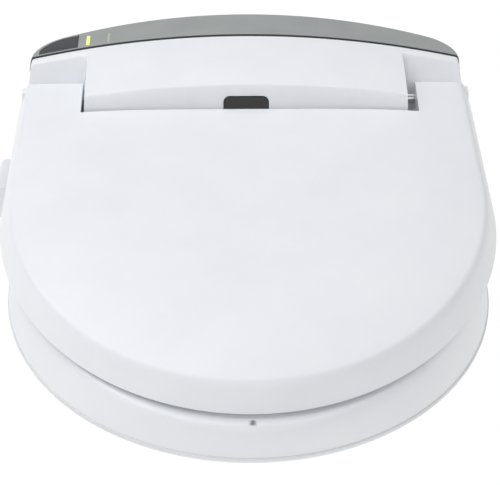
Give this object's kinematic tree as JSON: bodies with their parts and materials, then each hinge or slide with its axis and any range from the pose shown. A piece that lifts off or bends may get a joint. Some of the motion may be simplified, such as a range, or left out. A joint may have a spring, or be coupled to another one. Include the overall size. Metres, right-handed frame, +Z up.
{
  "type": "electric bidet seat",
  "caption": "White electric bidet toilet seat with soft-close lid, heated seat, grey trim strip with status window, side push buttons, spray nozzles and warm-air dryer on a bolted bracket.",
  "frame": {"origin": "midway between the two fixing bolts, on the top face of the toilet bowl", "axes": "+X to the right seen from the front, -Y towards the front of the seat, +Z up"},
  "size_m": [0.3931, 0.5286, 0.1395],
  "materials": {
    "white_plastic": "glossy white moulded",
    "grey_trim": "satin silver-grey",
    "smoked_window": "dark smoked, glossy",
    "led_lens_lit": "diffusing, lit yellow-green",
    "led_lens_unlit": "diffusing, unlit",
    "white_base_plastic": "fine-grained white",
    "grey_plastic": "fine-grained grey",
    "black_plastic": "moulded black",
    "acetal": "natural acetal",
    "steel": "bright",
    "stainless": "polished",
    "galvanised": "plated can",
    "aluminium_foil": "foil",
    "rubber_grey": "soft grey",
    "rubber_white": "soft white",
    "circuit_green": "solder mask",
    "silicone_hose": "translucent",
    "brass_nickel": "nickel-plated",
    "carbon_black": "activated carbon",
    "ceramic_heater": "mica and wire",
    "button_blue": "gloss"
  },
  "bodies": {
    "bracket": {"mounting_bracket": "white_base_plastic"},
    "guide_left": {"bolt_guide_left": "grey_plastic"},
    "guide_right": {"bolt_guide_right": "grey_plastic"},
    "unit": {"base_plate": "white_base_plastic", "housing_cover": "white_plastic", "trim_strip": "grey_trim", "display_window": "smoked_window", "power_led_lens": "led_lens_lit", "eco_led_lens": "led_lens_unlit", "sensor_window": "smoked_window", "rubber_pads": "rubber_grey", "housing_screws": "steel", "main_circuit_board": "circuit_green", "power_supply": "galvanised", "display_board": "circuit_green", "water_heater": "black_plastic", "solenoid_valve": "grey_plastic", "water_inlet": "brass_nickel", "inlet_strainer": "stainless", "water_hoses": "silicone_hose", "booster_pump": "black_plastic", "nozzle_cradle": "acetal", "wash_nozzle_motor": "galvanised", "bidet_nozzle_motor": "galvanised", "dryer_housing": "grey_plastic", "dryer_motor": "galvanised", "dryer_heater": "ceramic_heater", "deodoriser_housing": "grey_plastic", "cord_gland": "black_plastic", "pod_mount": "white_base_plastic", "pod_shell": "white_plastic", "pod_board": "circuit_green", "lid_damper": "black_plastic", "seat_damper": "black_plastic", "hinge_bushes": "acetal"},
    "release": {"release_button": "white_plastic"},
    "seat": {"seat_top": "white_plastic", "seat_bottom": "white_base_plastic", "seat_heater": "aluminium_foil", "seat_bumpers": "rubber_white", "seat_hinge_shaft": "stainless"},
    "lid": {"lid_shell": "white_plastic", "lid_bumpers": "rubber_white", "lid_hinge_shaft": "stainless"},
    "wash_wand": {"wash_nozzle": "stainless"},
    "bidet_wand": {"bidet_nozzle": "white_base_plastic"},
    "wash_gear": {"wash_pinion": "acetal"},
    "bidet_gear": {"bidet_pinion": "acetal"},
    "guard": {"nozzle_guard": "white_plastic"},
    "flap": {"dryer_flap": "white_plastic"},
    "dryer_wheel": {"dryer_fan": "black_plastic"},
    "odour_wheel": {"deodoriser_fan": "black_plastic"},
    "filter": {"carbon_filter": "carbon_black"},
    "drain": {"drain_cap": "white_plastic"},
    "rear_button": {"pod_button_rear": "button_blue"},
    "front_button": {"pod_button_front": "button_blue"}
  },
  "joints": [
    {"name": "unit_release_slide", "type": "slide", "parent": "bracket", "child": "unit", "axis": [0, -1, 0], "range_m": [0, 0.085]},
    {"name": "bolt_guide_left_slide", "type": "slide", "parent": "bracket", "child": "guide_left", "axis": [1, 0, 0], "range_m": [-0.008, 0.008]},
    {"name": "bolt_guide_right_slide", "type": "slide", "parent": "bracket", "child": "guide_right", "axis": [1, 0, 0], "range_m": [-0.008, 0.008]},
    {"name": "release_button_press", "type": "slide", "parent": "unit", "child": "release", "axis": [-1, 0, 0], "range_m": [0, 0.004], "stiffness_N_per_m": 400, "springref_m": -0.002},
    {"name": "seat_hinge", "type": "hinge", "parent": "unit", "child": "seat", "pos_m": [0, -0.045, 0.1], "axis": [-1, 0, 0], "range_deg": [0, 100]},
    {"name": "lid_hinge", "type": "hinge", "parent": "seat", "child": "lid", "pos_m": [0, -0.045, 0.1], "axis": [1, 0, 0], "range_deg": [-100, 0]},
    {"name": "wash_nozzle_slide", "type": "slide", "parent": "unit", "child": "wash_wand", "axis": [0, -0.848, -0.5299], "range_m": [0, 0.1]},
    {"name": "bidet_nozzle_slide", "type": "slide", "parent": "unit", "child": "bidet_wand", "axis": [0, -0.848, -0.5299], "range_m": [0, 0.1]},
    {"name": "wash_pinion_turn", "type": "hinge", "parent": "unit", "child": "wash_gear", "pos_m": [-0.011, -0.06937, 0.05165], "axis": [-1, 0, 0], "range_deg": [0, 955]},
    {"name": "bidet_pinion_turn", "type": "hinge", "parent": "unit", "child": "bidet_gear", "pos_m": [0.011, -0.06937, 0.05165], "axis": [-1, 0, 0], "range_deg": [0, 955]},
    {"name": "nozzle_guard_hinge", "type": "hinge", "parent": "unit", "child": "guard", "pos_m": [0, -0.0863, 0.0451], "axis": [-1, 0, 0], "range_deg": [0, 80]},
    {"name": "dryer_flap_hinge", "type": "hinge", "parent": "unit", "child": "flap", "pos_m": [0.0495, -0.0865, 0.0324], "axis": [-1, 0, 0], "range_deg": [0, 60]},
    {"name": "dryer_fan_spin", "type": "hinge", "parent": "unit", "child": "dryer_wheel", "pos_m": [0.066, 0, 0.03], "axis": [0, 0, 1], "continuous": true},
    {"name": "deodoriser_fan_spin", "type": "hinge", "parent": "unit", "child": "odour_wheel", "pos_m": [0.11, -0.008, 0.0585], "axis": [1, 0, 0], "continuous": true},
    {"name": "carbon_filter_slide", "type": "slide", "parent": "unit", "child": "filter", "axis": [1, 0, 0], "range_m": [0, 0.06]},
    {"name": "drain_cap_hinge", "type": "hinge", "parent": "unit", "child": "drain", "pos_m": [-0.1837, -0.021, 0.012], "axis": [0, -1, 0], "range_deg": [0, 90]},
    {"name": "pod_button_rear_press", "type": "slide", "parent": "unit", "child": "rear_button", "axis": [1, 0, 0], "range_m": [0, 0.0012], "stiffness_N_per_m": 300, "springref_m": -0.001},
    {"name": "pod_button_front_press", "type": "slide", "parent": "unit", "child": "front_button", "axis": [1, 0, 0], "range_m": [0, 0.0012], "stiffness_N_per_m": 300, "springref_m": -0.001}
  ],
  "couplings": [
    {"joint": "wash_pinion_turn", "follows": "wash_nozzle_slide", "rad_per_m": 166.67},
    {"joint": "bidet_pinion_turn", "follows": "bidet_nozzle_slide", "rad_per_m": 166.67}
  ]
}
